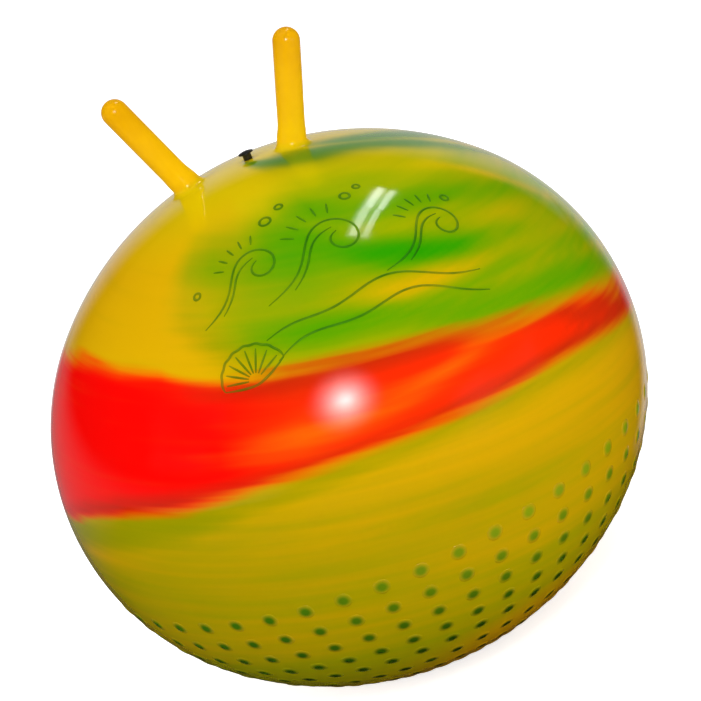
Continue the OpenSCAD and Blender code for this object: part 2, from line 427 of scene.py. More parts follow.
# %% Green over the red by longitude
# Haze is one broad field of green, and straw is where the yellow shows between the streaks of green.
HAZE = (
    (236, 54, 12, 0), (247, 55, 13, 0.3), (256, 51, 16, 0.42), (266, 47, 20, 0.6), (280, 46, 22, 0.66),
    (300, 46, 26, 0.58), (320, 44, 27, 0.55), (340, 36, 25, 0.5), (355, 33, 22, 0.48), (390, 18, 14, 0.3),
    (420, 10, 10, 0),
)
GREEN = (
    (
        (238, 60, 4, 0), (247, 58, 6, 0.28), (256, 57, 7, 0.38), (266, 55, 8, 0.12), (276, 55, 8, 0.45),
        (286, 53, 7, 0.55), (292, 48.5, 6, 0.6), (299, 43, 5, 0.8), (307, 39.5, 4, 1.0),
        (316, 36, 3.6, 0.85), (326, 33.5, 3, 0.25), (340, 29, 4, 0.1), (360, 24, 4, 0.3),
        (390, 17, 5, 0.25), (420, 12, 4, 0),
    ),
    (
        (278, 64, 4, 0), (285, 62, 5, 0.3), (294, 60, 5, 0.5), (304, 55, 5.5, 0.35),
        (314, 50.5, 4.5, 0.35), (328, 45.5, 4.2, 0.5), (337, 41.5, 4.2, 0.4), (355, 32, 5, 0.3),
        (380, 22, 5, 0.3), (410, 15, 4, 0),
    ),
    (
        (252, 48, 4, 0), (258, 44, 4, 0.1), (266, 38, 4, 0.25), (274, 35.5, 3.8, 0.45),
        (285, 33.3, 3.8, 0.55), (299, 30, 3.6, 0.66), (312, 28, 3.6, 0.55), (322, 27, 4, 0.45),
        (331, 24, 3.4, 0.35), (345, 20, 3, 0.4), (360, 16, 3, 0.4), (385, 9, 3.5, 0.4), (410, 3, 3, 0),
    ),
    (
        (270, 31, 3, 0), (285, 30, 3, 0.2), (293, 28.3, 3.2, 0.4), (299, 27, 3.4, 0.55),
        (306, 24.8, 4.2, 0.64), (313, 22.8, 4.6, 0.66), (320, 20.8, 5, 0.68), (329, 18.2, 5.2, 0.7),
        (340, 14.8, 5.2, 0.7), (350, 11.6, 4.6, 0.64), (357, 8.6, 4, 0.58), (375, 3, 3, 0.4),
        (400, -5, 3, 0),
    ),
    (
        (97, 70, 4, 0), (112, 66, 5, 0.4), (130, 60, 6, 0.7), (155, 54, 6, 0.8), (175, 51, 5, 0.5),
        (190, 50, 4, 0),
    ),
    ((380, 66, 5, 0), (400, 60, 7, 0.6), (425, 52, 8, 0.85), (442, 46, 7, 0.7), (457, 42, 6, 0.6)),
    ((97, 42, 6, 0.6), (112, 37, 6, 0.5), (130, 32, 5, 0.3), (148, 30, 4, 0)),
    ((400, 20, 4, 0), (415, 17, 5, 0.45), (435, 12, 5, 0.6), (457, 7, 5, 0.5)),
    ((97, 7, 5, 0.5), (115, 2, 4, 0.4), (135, -2, 4, 0)),
)
STRAW = (
    (
        (262, 47, 3, 0), (275, 42, 3, 0.05), (287, 38.5, 3, 0.15), (298, 35, 2.8, 0.6),
        (306, 33.5, 2.5, 0.6), (313, 32, 2.3, 0.35), (322, 31, 2.2, 0.1), (330, 31, 2, 0),
    ),
    ((318, 42, 3, 0), (326, 38.5, 3, 0.06), (336, 33, 3, 0.2), (350, 27, 3, 0)),
    (
        (312, 66, 3, 0), (325, 61, 3, 0.2), (335, 55, 3, 0.3), (342, 50, 3.5, 0.5), (346, 44, 3.5, 0.5),
        (349, 38, 3.5, 0.4), (354, 30, 4, 0.3), (365, 22, 4, 0),
    ),
)
print("streaks of green and straw:", len(GREEN), len(STRAW))

# %% Teal, olive and lemon
TEAL = (
    (
        (282, 86, 5, 0), (293, 85, 7, 0.5), (298, 84.5, 8, 0.7), (304, 84, 8.5, 0.85),
        (314, 80, 8.5, 0.88), (325, 76, 8.5, 0.9), (338, 72.5, 8.5, 0.9), (346, 67.5, 8.5, 0.9),
        (352, 61.5, 9.5, 0.9), (358, 54.5, 9, 0.88), (363, 48, 7.5, 0.75), (368, 41, 7, 0.6),
        (376, 34, 6, 0.5), (395, 25, 5, 0.35), (430, 18, 4, 0),
    ),
    (
        (340, 76, 5, 0), (348, 73, 7, 0.6), (354, 69, 9, 0.9), (360, 65, 10, 0.9), (366, 60, 10, 0.9),
        (374, 53, 10, 0.85), (384, 46, 9, 0.7), (400, 38, 8, 0.5), (430, 28, 6, 0),
    ),
)
OLIVE = (
    (
        (115, -6, 5, 0), (130, -5, 5, 0.4), (150, -2, 5, 0.6), (185, 1, 4, 0.6), (210, 6, 5, 0.9),
        (226, 7.5, 5, 0.9), (240, 8, 4.5, 0.8), (255, 9.2, 3.2, 0.65), (275, 9.4, 2.6, 0.6),
        (296, 7.8, 2.2, 0.6), (317, 5, 2.6, 0.65), (340, 1.6, 2.8, 0.55), (360, -2.4, 2.8, 0.3),
        (385, -6, 2.5, 0),
    ),
    (
        (215, 5, 4, 0), (235, 2, 4, 0.5), (260, -1, 3.5, 0.5), (275, -4, 3, 0.5), (290, -8, 3, 0.5),
        (310, -13, 3, 0.4), (330, -18, 3, 0.3), (350, -22, 3, 0),
    ),
    (
        (170, -6, 8, 0), (190, -6, 10, 0.3), (210, -6, 17, 0.5), (235, -7, 19, 0.55), (255, -8, 19, 0.5),
        (268, -8, 17, 0.45), (285, -9, 12, 0.35), (300, -12, 9, 0.35), (320, -16, 8, 0.25),
        (345, -20, 7, 0),
    ),
    (
        (190, -36, 10, 0), (210, -40, 12, 0.5), (235, -45, 12, 0.7), (255, -47, 12, 0.7),
        (275, -47, 10, 0.4), (290, -46, 8, 0),
    ),
    (
        (240, 48, 4, 0), (248, 45, 5, 0.4), (256, 40, 5, 0.55), (262, 37, 4, 0.45), (270, 34, 3, 0.15),
        (276, 33, 2, 0),
    ),
    ((390, 0, 3, 0), (420, -4, 4, 0.5), (445, -8, 4, 0.4), (456, -10, 3, 0)),
)
# Under the red the whole field turns to olive by latitude, deepest between the lower rows of nubs and golden
# again at the foot. By longitude it is a little weaker on the right.
OLIVE_FIELD = (
    (-90, 0.0), (-56, 0.05), (-48, 0.3), (-40, 0.8), (-32, 0.75), (-20, 0.4), (-10, 0.28), (2, 0.2),
    (10, 0.15), (20, 0.0), (90, 0.0),
)
OLIVE_ROUND = ((97, 1), (290, 1), (325, 0.75), (350, 0.7), (457, 1))
# The yellow turns to lemon over 18 degrees from this latitude up.
LEMON_FROM = ((97, 58), (262, 58), (285, 42), (305, 35), (365, 33), (400, 55), (457, 58))
LEMON_OVER = 18
print("streaks of teal and olive:", len(TEAL), len(OLIVE))


# %% Paint the streaks on a mesh
def read_off(at, table):
    """The columns of a table of stops, each read off between its stops."""
    stops = np.array(table, float).T
    return [np.interp(at, stops[0], row) for row in stops[1:]]


def streaks(lon, lat, tables):
    """Strength of the strongest of several streaks at each place."""
    best = np.zeros_like(lon)
    for table in tables:
        middle, half, strength = read_off(lon, table)
        best = np.maximum(best, strength * np.exp(-(((lat - middle) / half) ** 2)))
    return best


def paint(mesh):
    """Stores the strength of every streak at each vertex. Red is stored as degrees inside its band."""
    place = np.empty(3 * len(mesh.vertices))
    mesh.vertices.foreach_get("co", place)
    x, y, z = place.reshape(-1, 3).T
    lon = (np.degrees(np.arctan2(y, x)) - BACK) % 360 + BACK
    lat = np.degrees(np.arcsin(np.clip((z - MID_Z) / POLE_R, -1, 1)))
    by_lon = (RED_TOP, RED_FOOT, RED_HEAT, RED_CRISP, OLIVE_ROUND, LEMON_FROM)
    top, foot, heat, crisp, olive_round, lemon_from = (read_off(lon, table)[0] for table in by_lon)
    middle, half, strength = read_off(lon, HAZE)
    haze = strength * np.exp(-(((lat - middle) / half) ** 4))
    green = haze + (1 - haze) * streaks(lon, lat, GREEN)
    field = read_off(lat, OLIVE_FIELD)[0] * olive_round
    layers = {
        "red_inside": np.minimum((top - lat) * crisp, lat - foot),
        "red_heat": heat,
        "amber": streaks(lon, lat, AMBER),
        "dusk": streaks(lon, lat, DUSK),
        "lemon": np.clip((lat - lemon_from) / LEMON_OVER, 0, 1),
        "green": green * (1 - streaks(lon, lat, STRAW)),
        "teal": streaks(lon, lat, TEAL),
        "olive": field + (1 - field) * streaks(lon, lat, OLIVE),
    }
    for name, values in layers.items():
        mesh.attributes.new(name, "FLOAT", "POINT").data.foreach_set("value", values.astype(np.float32))
    return sorted(layers)


front = [float(read_off(FRONT, table)[0]) for table in (RED_TOP, RED_FOOT)]
print("red band at the front, in degrees:", front)

# %% [markdown]
# ## Finish of the vinyl
# The real skin is soft PVC cast in a polished mould: even gloss, a faint waviness where it stretched, and
# colour that is in the material, not printed on it. The marbling is one graph, shared by the skin, the
# foot of the horns, the edge of the nubs and the raised lines, so that all of them meet without a seam.
# Noise that is long round the ball and short up and down makes the drawn-out fibres in the streaks.


# %% Marbling shared by every vinyl finish
# Fibres are about 9 mm thick and 200 mm long, clouds 45 mm thick and 240 mm long, and both fall 11 degrees.
FIBRE = (200 * MM, 200 * MM, 9 * MM)
CLOUD = (240 * MM, 240 * MM, 45 * MM)
FALL = (0.0, math.radians(11), 0.0)
STORED = ("red_inside", "red_heat", "amber", "dusk", "lemon", "green", "teal", "olive")
# Each tint has a stored strength, the share of fraying added to it, the range that it fades in over and a
# colour.
TINTS = (
    ("olive", 0.5, 0.0, 1.0, "#939200"),
    ("green", 0.22, 0.0, 1.0, "#289B00"),
    ("teal", 0.25, 0.0, 1.0, "#4C8412"),
    ("red_inside", 3.0, -1.6, 2.2, "#F62A03"),
)
# Over the red, orange shines through where the paste ran thin, and its edges are dusky where green lies
# under it.
OVER_RED = (("amber", 0.5, "#F0860A"), ("dusk", 0.3, "#96280A"))
OVER_RED_MOST = 0.75
# Between these levels, as shares of the ball's half height from its middle, the yellow turns to gold.
LEMON_SHARE, GOLD_SHARE = 0.35, -0.15


def marbling(tree):
    """Colour of the marbled vinyl, from the streak attributes and drawn-out noise."""
    where = node(tree, "TexCoord").outputs["Object"]
    stored = {name: node(tree, "Attribute", attribute_name=name).outputs["Fac"] for name in STORED}
    drawn = []
    for size in (FIBRE, CLOUD):
        along = node(tree, "Mapping", {0: where, "Rotation": FALL, "Scale": size}, vector_type="TEXTURE")
        noise = {"Vector": along, "Scale": 1.0, "Detail": 2.0, "Roughness": 0.5}
        drawn.append(node(tree, "TexNoise", noise))
    fibre, cloud = drawn
    fray = node(tree, "Math", {0: fibre, 1: cloud}, operation="ADD")
    fray = node(tree, "Math", {0: fray, 1: -1.0}, operation="ADD")

    # The yellow turns to a darker gold below the middle of the ball, and to lemon towards the top.
    colour = node(tree, "Mix", {0: cloud, 6: linear("#D8A602"), 7: linear("#E3B104")}, data_type="RGBA")
    up = node(tree, "SeparateXYZ", {0: where})
    thick = {"From Min": MID_Z + LEMON_SHARE * POLE_R, "From Max": MID_Z + GOLD_SHARE * POLE_R}
    thick = node(tree, "MapRange", {"Value": up.outputs["Z"], **thick})
    colour = node(tree, "Mix", {0: thick, 6: colour, 7: linear("#CF9A02")}, data_type="RGBA")
    colour = node(tree, "Mix", {0: stored["lemon"], 6: colour, 7: linear("#DCC003")}, data_type="RGBA")

    for name, share, start, end, tint in TINTS:
        frayed = node(tree, "Math", {0: fray, 1: share, 2: stored[name]}, operation="MULTIPLY_ADD")
        amount = {"Value": frayed, "From Min": start, "From Max": end}
        amount = node(tree, "MapRange", amount, interpolation_type=SMOOTH)
        colour = node(tree, "Mix", {0: amount, 6: colour, 7: linear(tint)}, data_type="RGBA")
    # The last tint is the red, and what lies over it stays inside it.
    red = amount
    heat = node(tree, "Math", {0: fray, 1: 0.9, 2: stored["red_heat"]}, operation="MULTIPLY_ADD")
    hot = {"Value": heat, "From Min": 0.35, "From Max": 0.95}
    hot = node(tree, "MapRange", hot, interpolation_type=SMOOTH)
    hot = node(tree, "Math", {0: hot, 1: red}, operation="MULTIPLY")
    colour = node(tree, "Mix", {0: hot, 6: colour, 7: linear("#FC0502")}, data_type="RGBA")
    for name, share, tint in OVER_RED:
        over = node(tree, "Math", {0: fray, 1: share, 2: stored[name]}, operation="MULTIPLY_ADD")
        over = {"Value": over, "From Max": 1.0, "To Max": OVER_RED_MOST}
        over = node(tree, "MapRange", over, interpolation_type=SMOOTH)
        over = node(tree, "Math", {0: over, 1: red}, operation="MULTIPLY")
        colour = node(tree, "Mix", {0: over, 6: colour, 7: linear(tint)}, data_type="RGBA")
    return colour


print("layers in the marbling:", len(TINTS) + len(OVER_RED))


# %% Surface of polished vinyl, and the skin's finish
def vinyl_surface(tree, colour, gloss=0.06, level=0.3):
    """Shader of polished soft PVC: a clear gloss, faint smudges and a faint waviness of the skin."""
    where = node(tree, "TexCoord").outputs["Object"]
    # Waves in the stretched skin are about 45 mm long and 0.05 mm high; smudges are about 25 mm wide.
    wave = node(tree, "TexNoise", {"Vector": where, "Scale": 1 / (45 * MM), "Detail": 2.0})
    bump = node(tree, "Bump", {"Strength": 1.0, "Distance": 0.05 * MM, "Height": wave})
    smudge = {"Vector": where, "Scale": 1 / (25 * MM), "Detail": 5.0, "Roughness": 0.65}
    smudge = node(tree, "TexNoise", smudge)
    rough = {"From Min": 0.3, "From Max": 0.75, "To Min": gloss - 0.03, "To Max": gloss + 0.05}
    rough = node(tree, "MapRange", {"Value": smudge, **rough})
    shader = {"Base Color": colour, "Roughness": rough, "Normal": bump}
    shader = node(tree, "BsdfPrincipled", {"IOR": 1.5, "Specular IOR Level": level, **shader})
    node(tree, "OutputMaterial", {"Surface": shader})


skin_vinyl, tree = fresh("soft_pvc_marbled_polished")
vinyl_surface(tree, marbling(tree))
print(skin_vinyl.name, "has", len(tree.nodes), "nodes")

# %% [markdown]
# ## The skin
# The skin is the whole blown-up ball: 1 mm of vinyl with a flat under it and a small hole for the
# stopper. A sphere could be scaled to an oval, but it would have no inside and no hole. Its outline is
# drawn from the middle of the foot, up the outside to the lip of the hole and back down the inside, and
# turned once round the axis. The hole sits 9 mm from the top, so the rings near it are slid across and
# set back on the oval.

# %% Outside of the skin
LIP_R = 0.4 * MM
foot_a = math.degrees(math.asin(FOOT_R / CAP_R))
lip_a = math.degrees(math.asin((VALVE_R + LIP_R) / CAP_R))
bm = bmesh.new()
tip = bm.verts.new((0, 0, 0))
tip = carry(bm, tip, 4, shift=(FOOT_R, 0, 0))
tip = carry(bm, tip, 26, (0, 0, UNDER_Z), 45 - foot_a)
tip = carry(bm, tip, 52, (ARC_OFF, 0, MID_Z), 90)
tip = carry(bm, tip, 34, (0, 0, OVER_Z), 45 - lip_a)
tip = carry(bm, tip, 3, tip.co - Vector((0, 0, LIP_R)), 90)
print("outline reaches the hole with", len(bm.verts), "points")

# %% Inside of the skin
# Over the socket the skin is thinner inside, which leaves room for the skin to sink a little on it.
THIN_T, THIN_REACH, THIN_STEP = 0.6 * MM, 30 * MM, math.radians(1)
inner_r = CAP_R - SKIN_T
inner_foot_r = math.sqrt(inner_r**2 - (UNDER_Z - SKIN_T) ** 2)
thin_r = CAP_R - THIN_T
thin_a = math.asin(THIN_REACH / thin_r)
step_a = thin_a + THIN_STEP
full = Vector((inner_r * math.sin(step_a), 0, OVER_Z + inner_r * math.cos(step_a)))
tip = carry(bm, tip, 1, shift=(0, 0, OVER_Z + math.sqrt(thin_r**2 - VALVE_R**2) - tip.co.z))
tip = carry(bm, tip, 6, (0, 0, OVER_Z), math.degrees(math.asin(VALVE_R / thin_r) - thin_a))
tip = carry(bm, tip, 1, shift=full - tip.co)
tip = carry(bm, tip, 9, (0, 0, OVER_Z), math.degrees(step_a) - 45)
tip = carry(bm, tip, 14, (ARC_OFF, 0, MID_Z), -90)
tip = carry(bm, tip, 8, (0, 0, UNDER_Z), math.degrees(math.asin(inner_foot_r / inner_r)) - 45)
tip = carry(bm, tip, 2, shift=(-tip.co.x, 0, 0))
turn(bm, 240)
print("turned skin:", len(bm.faces), "faces")

# %% Slide the hole to its place beside the top
SLIDE_R = 80 * MM


def over_level(x, y):
    """Height of the cap over the ball above a place on the floor."""
    return OVER_Z + math.sqrt(CAP_R**2 - x * x - y * y)


for v in bm.verts:
    out = math.hypot(v.co.x, v.co.y)
    if v.co.z > MID_Z and out < SLIDE_R:
        near = 1 - out / SLIDE_R
        before = over_level(v.co.x, v.co.y)
        v.co.x += VALVE_X * near * near * (3 - 2 * near)
        v.co.z += over_level(v.co.x, v.co.y) - before
skin = piece("marbled_skin", bm, skin_vinyl)
print("painted:", paint(skin.data))

# %% Skin rides on the ball
HORN_X = 50 * MM
HORN_Z = over_level(HORN_X, 0)


def soft_with_ball(made):
    """A soft piece of the ball rides on the ball's body, with a mesh of its own."""
    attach(made, "ball")
    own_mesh(made)


soft_with_ball(skin)
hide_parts("ball_skin")
print(f"the horns stand {1000 * HORN_Z:.1f} mm up")

# %% [markdown]
# ## The horns
# Each horn is a hollow finger of the same vinyl, with a round end and a root that flows into the skin
# without an edge. It could be a rod pushed into the ball, but then a hard line would show round it. Its
# outline is drawn and turned about its own axis, and the rings of its root are then pressed onto the
# ball, so that the root's last rings lie on the skin.

# %% Horn finish
horn_vinyl, tree = fresh("soft_pvc_yellow_polished")
where = node(tree, "TexCoord").outputs["Object"]
# The paste in the horns is plain yellow, with faint clouds about 30 mm wide, and painted shade darkens it
# towards the tip.
cloud = node(tree, "TexNoise", {"Vector": where, "Scale": 1 / (30 * MM), "Detail": 3.0})
height = node(tree, "SeparateXYZ", {0: where}).outputs["Z"]
# Painted shade: the yellow darkens from 10 mm to 90 mm above the horn's foot, so the foot looks lit and the
# tip shaded.
SHADE_FROM_UP, SHADE_FULL_UP = 10 * MM, 90 * MM
painted_shade_by_height = {"From Min": HORN_Z + SHADE_FROM_UP, "From Max": HORN_Z + SHADE_FULL_UP, "To Min": 0.6, "To Max": -0.2}
painted_shade_by_height = node(tree, "MapRange", {"Value": height, **painted_shade_by_height})
# The clouds are the paste's own tone, and the painted shade along the horn is added to them.
clear = node(tree, "Math", {0: cloud, 1: 0.6, 2: painted_shade_by_height}, operation="MULTIPLY_ADD")
plain = node(tree, "Mix", {0: clear, 6: linear("#E2A003"), 7: linear("#FCC807")}, data_type="RGBA")
up_horn = node(tree, "Attribute", attribute_name="up_horn")
both = node(tree, "Mix", {0: up_horn.outputs["Fac"], 6: marbling(tree), 7: plain}, data_type="RGBA")
vinyl_surface(tree, both, gloss=0.12, level=0.3)
print(horn_vinyl.name, "has", len(tree.nodes), "nodes")

# %% Sizes of a horn
HORN_R, HORN_L, LEAN = 12.25 * MM, 106 * MM, 20
ROOT_R, ROOT_H = 13.75 * MM, 20 * MM
# The root sweeps out to a hem that lies on the skin and sinks into it at its edge.
NECK_IN, SWEEP_R, SWEEP_Z, SWEEP_A = 0.4 * MM, 7 * MM, 7.25 * MM, 88
HEM_W, HEM_SINK, HEM_T, HEM_DISH = 10 * MM, 0.2 * MM, 1.6 * MM, 2 * MM
# Below a level the horn is pressed onto the ball, and from another the marbling gives way to plain yellow.
PRESS_Z, PLAIN_FROM, PLAIN_OVER = 16 * MM, 0.2 * MM, 7 * MM
print(f"a horn is {1000 * HORN_L:.0f} mm long and {2000 * HORN_R:.1f} mm thick")


# %% Horns
def horn(side, name):
    """One horn, drawn upright, pressed onto the ball at its root and leaned to its side."""
    bm = bmesh.new()
    tip = bm.verts.new((0, 0, HORN_L))
    tip = carry(bm, tip, 10, (0, 0, HORN_L - HORN_R), -90)
    tip = carry(bm, tip, 14, shift=(0, 0, ROOT_H + HORN_R - HORN_L))
    tip = carry(bm, tip, 5, shift=(ROOT_R - HORN_R - NECK_IN, 0, SWEEP_Z - ROOT_H))
    tip = carry(bm, tip, 12, tip.co + Vector((SWEEP_R, 0, 0)), SWEEP_A)
    tip = carry(bm, tip, 5, shift=(HEM_W, 0, -HEM_SINK - tip.co.z))
    tip = carry(bm, tip, 1, shift=(0, 0, -HEM_T))
    tip = carry(bm, tip, 2, shift=(-tip.co.x, 0, -HEM_DISH))
    turn(bm, 48)
    leaned = Matrix.Rotation(math.radians(side * LEAN), 4, "Y")
    leaned = Matrix.Translation((side * HORN_X, 0, HORN_Z)) @ leaned
    middle = Vector((0, 0, OVER_Z))
    up_horn = bm.verts.layers.float.new("up_horn")
    for v in bm.verts:
        low = 1 - min(max(v.co.z / PRESS_Z, 0), 1)
        on_axis = leaned @ v.co
        flat = leaned @ Vector((v.co.x, v.co.y, 0))
        on_ball = middle + (flat - middle).normalized() * (CAP_R + v.co.z)
        v[up_horn] = min(max((v.co.z - PLAIN_FROM) / PLAIN_OVER, 0), 1)
        v.co = on_axis.lerp(on_ball, low * low * (3 - 2 * low))
    made = piece(name, bm, horn_vinyl)
    paint(made.data)
    body = "horn_left" if side < 0 else "horn_right"
    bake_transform(made)
    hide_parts(body, body.replace("horn", "horn_root"))


horn(-1, "soft_horn_left")
horn(1, "soft_horn_right")

# %% [markdown]
# ## The stopper and its socket
# The stopper is pushed into the hole to keep the air in. It is moulded in black polyethylene: a thin
# domed head to grip with the nails, a neck, and a stem with three sealing beads. Its outline has only
# straight steps, so it is drawn with shifts and turned, and a bevel then softens every moulded edge. The
# socket inside the skin is the CAD node itself, whose shape is right, so it only gets a finish.

# %% Stopper finish
black_pe, tree = fresh("polyethylene_black_moulded")
where = node(tree, "TexCoord").outputs["Object"]
# Moulded black plastic shows as dark grey, with fine scuffs drawn 1.4 mm wide, coarser than real, to show.
scuff = node(tree, "TexNoise", {"Vector": where, "Scale": 1 / (1.4 * MM), "Detail": 4.0})
tone = node(tree, "Mix", {0: scuff, 6: linear("#0C0C0B"), 7: linear("#24231F")}, data_type="RGBA")
rough = node(tree, "MapRange", {"Value": scuff, "To Min": 0.3, "To Max": 0.5})
bump = node(tree, "Bump", {"Strength": 0.4, "Distance": 0.05 * MM, "Height": scuff})
shader = node(tree, "BsdfPrincipled", {"Base Color": tone, "Roughness": rough, "IOR": 1.51, "Normal": bump})
node(tree, "OutputMaterial", {"Surface": shader})
print(black_pe.name, "has", len(tree.nodes), "nodes")

# %% Stopper
# Each step of the outline is a radius and a level from the skin, in millimetres.
STEM_R, STEM_END_R, BEAD_R, BEAD_H = 3.3, 2.5, 3.95, 1.6
STEM_FOOT, STEM_FULL, BEADS, NECK_FOOT, HEAD_FOOT = -15, -12.5, (-12, -8.8, -5.6), -2.4, 5.4
DOME = ((6.9, HEAD_FOOT), (6.9, 6.5), (4.6, 7.2), (2.2, 7.65), (0, 7.8))
SOFT_EDGE, SOFT_FROM = 0.22 * MM, math.radians(40)
steps = [(STEM_END_R, STEM_FOOT), (STEM_R, STEM_FULL)]
for bead in BEADS:
    steps += [(BEAD_R, bead), (BEAD_R, bead + BEAD_H), (STEM_R, bead + BEAD_H), (STEM_R, bead + 2 * BEAD_H)]
steps += [(BEAD_R, NECK_FOOT), (BEAD_R, HEAD_FOOT), *DOME]
bm = bmesh.new()
tip = bm.verts.new((0, 0, STEM_FOOT * MM))
for out, level in steps:
    tip = carry(bm, tip, 1, shift=Vector((out * MM, 0, level * MM)) - tip.co)
turn(bm, 40)
edges = [e for e in bm.edges if len(e.link_faces) == 2 and e.calc_face_angle(0) > SOFT_FROM]
bmesh.ops.bevel(
    bm,
    geom=edges,
    offset=SOFT_EDGE,
    offset_type="OFFSET",
    segments=2,
    profile=0.5,
    affect="EDGES",
    material=-1,
)
bmesh.ops.translate(bm, verts=bm.verts, vec=(VALVE_X, 0, VALVE_Z))
plug = piece("black_stopper", bm, black_pe, sharp=50)
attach(plug, "plug")
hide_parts("valve_plug")

# %% Socket finish
socket_vinyl, tree = fresh("soft_pvc_socket_matt")
where = node(tree, "TexCoord").outputs["Object"]
# The socket's bore is yellow vinyl, dulled by powder that keeps it from sticking, in flecks about 2 mm wide.
fleck = node(tree, "TexNoise", {"Vector": where, "Scale": 1 / (2 * MM), "Detail": 4.0})
tone = node(tree, "Mix", {0: fleck, 6: linear("#B48A08"), 7: linear("#C9A22A")}, data_type="RGBA")
rough = node(tree, "MapRange", {"Value": fleck, "To Min": 0.45, "To Max": 0.7})
shader = node(tree, "BsdfPrincipled", {"Base Color": tone, "Roughness": rough, "IOR": 1.5})
node(tree, "OutputMaterial", {"Surface": shader})
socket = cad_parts["valve_boss"]
for place in socket.material_slots:
    place.material = socket_vinyl
print("socket slots:", [s.material.name for s in socket.material_slots])

# %% [markdown]
# ## The grip nubs
# Eight rows of low nubs ring the underside, so that the ball doesn't slip on a smooth floor. The paste
# gathered in their hollows of the mould, so each nub is a dark green spot that fades out at its edge.
# There are hundreds, so one nub has only a few dozen faces: a disc, raised and inset four times. A spin
# that duplicates sets the others round the ball, which costs one call a row.

# %% Nub finish
nub_vinyl, tree = fresh("soft_pvc_green_nub")
place = node(tree, "SeparateXYZ", {0: node(tree, "TexCoord").outputs["Object"]})
# From 75 mm up to the highest row, 177 mm up, the green gets lighter. High up it runs out towards the right.
DEEP_Z, LIGHT_Z = 75 * MM, 175 * MM
lighter = node(tree, "MapRange", {"Value": place.outputs["Z"], "From Min": DEEP_Z, "From Max": LIGHT_Z})
green = node(tree, "Mix", {0: lighter, 6: linear("#1E4000"), 7: linear("#3A6C00")}, data_type="RGBA")
FULL_X, THIN_X = -90 * MM, 130 * MM
thin = node(tree, "MapRange", {"Value": place.outputs["X"], "From Min": FULL_X, "From Max": THIN_X})
high = node(tree, "Math", {0: lighter, 1: 2.0}, operation="POWER")
thin = node(tree, "Math", {0: thin, 1: high}, operation="MULTIPLY")
green = node(tree, "Mix", {0: thin, 6: green, 7: linear("#7E9202")}, data_type="RGBA")
rim = node(tree, "Attribute", attribute_name="rim")
fade = {"Value": rim.outputs["Fac"], "From Min": 0.3, "From Max": 1.0}
fade = node(tree, "MapRange", fade, interpolation_type=SMOOTH)
both = node(tree, "Mix", {0: fade, 6: green, 7: marbling(tree)}, data_type="RGBA")
vinyl_surface(tree, both, gloss=0.2)
print(nub_vinyl.name, "has", len(tree.nodes), "nodes")

# %% Rows of nubs
ROWS, NUBS = 8, 48
# Slope of the first row under the middle of the ball, and the step from row to row, in degrees.
ROW_FIRST, ROW_STEP = 17.5, 6.7
NUB_R, NUB_WALL, NUB_SINK = 8 * MM, 0.35 * MM, 0.17 * MM
# How far each inset goes in and up, from the edge to the top of a nub.
NUB_STEPS = ((1.5 * MM, 0.2 * MM), (1.2 * MM, 0.22 * MM), (1.3 * MM, 0.22 * MM), (1.8 * MM, 0.16 * MM))


def one_nub(slope):
    """One nub on the side of the ball that faces along X, on a slope below its middle."""
    bm = bmesh.new()
    disc = bmesh.ops.create_circle(bm, cap_ends=True, radius=NUB_R, segments=12)
    wall = bmesh.ops.extrude_face_region(bm, geom=bm.faces[:])
    top = [f for f in wall["geom"] if isinstance(f, bmesh.types.BMFace)][0]
    bmesh.ops.translate(bm, verts=disc["verts"], vec=(0, 0, -NUB_WALL))
    for inward, raised in NUB_STEPS:
        bmesh.ops.inset_region(bm, faces=[top], thickness=inward)
        bmesh.ops.translate(bm, verts=top.verts, vec=(0, 0, raised))
    rim = bm.verts.layers.float.new("rim")
    for v in bm.verts:
        v[rim] = math.hypot(v.co.x, v.co.y) / NUB_R
    reach, off = (SIDE_R, ARC_OFF) if slope <= math.radians(45) else (CAP_R, 0)
    outward = Vector((math.cos(slope), 0, -math.sin(slope)))
    on_ball = Vector((off, 0, MID_Z + ARC_OFF - off)) + outward * reach
    bmesh.ops.rotate(bm, verts=bm.verts, matrix=Matrix.Rotation(math.pi / 2 + slope, 3, "Y"))
    bmesh.ops.translate(bm, verts=bm.verts, vec=on_ball - outward * NUB_SINK)
    return bm


for row in range(ROWS):
    bm = one_nub(math.radians(ROW_FIRST + ROW_STEP * row))
    bmesh.ops.spin(
        bm,
        geom=bm.verts[:] + bm.edges[:] + bm.faces[:],
        axis=(0, 0, 1),
        angle=2 * math.pi * (NUBS - 1) / NUBS,
        steps=NUBS - 1,
        use_duplicate=True,
    )
    nubs = piece(f"nub_row_{row + 1}", bm, nub_vinyl)
    paint(nubs.data)
    soft_with_ball(nubs)
    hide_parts(f"grip_nubs_{row + 1}")

# %% [markdown]
# ## The raised lines
# The front of the ball carries a large ornament of thin raised lines, cast in the mould, where dark paste
# gathered. Here it is a plain sea ornament: three rolling waves, two lines of swell, a shell and some
# drops. The lines could be cut into the skin, but that needs a far finer mesh. Each line is a smooth
# curve laid on the ball, with a round section of which the upper third stands out of the skin, and it is
# made a mesh before it is placed.

# %% Places on the skin
# The ornament's middle, the radius of a line, how deep its axis lies and how wide its ends are as a share.
LINE_LON, LINE_LAT = math.radians(287), math.radians(45)
LINE_R, LINE_SINK, LINE_END_SHARE = 1.3 * MM, 0.4 * MM, 0.5
LINE_MERGE = 0.01 * MM
# The ornament is drawn flat at this distance from the middle of the ball, and laid on the skin from there.
DRAWN_AT = 260 * MM
flat = math.cos(LINE_LAT)
outward = Vector((math.cos(LINE_LON) * flat, math.sin(LINE_LON) * flat, math.sin(LINE_LAT)))
east = Vector((-math.sin(LINE_LON), math.cos(LINE_LON), 0))
north = outward.cross(east)


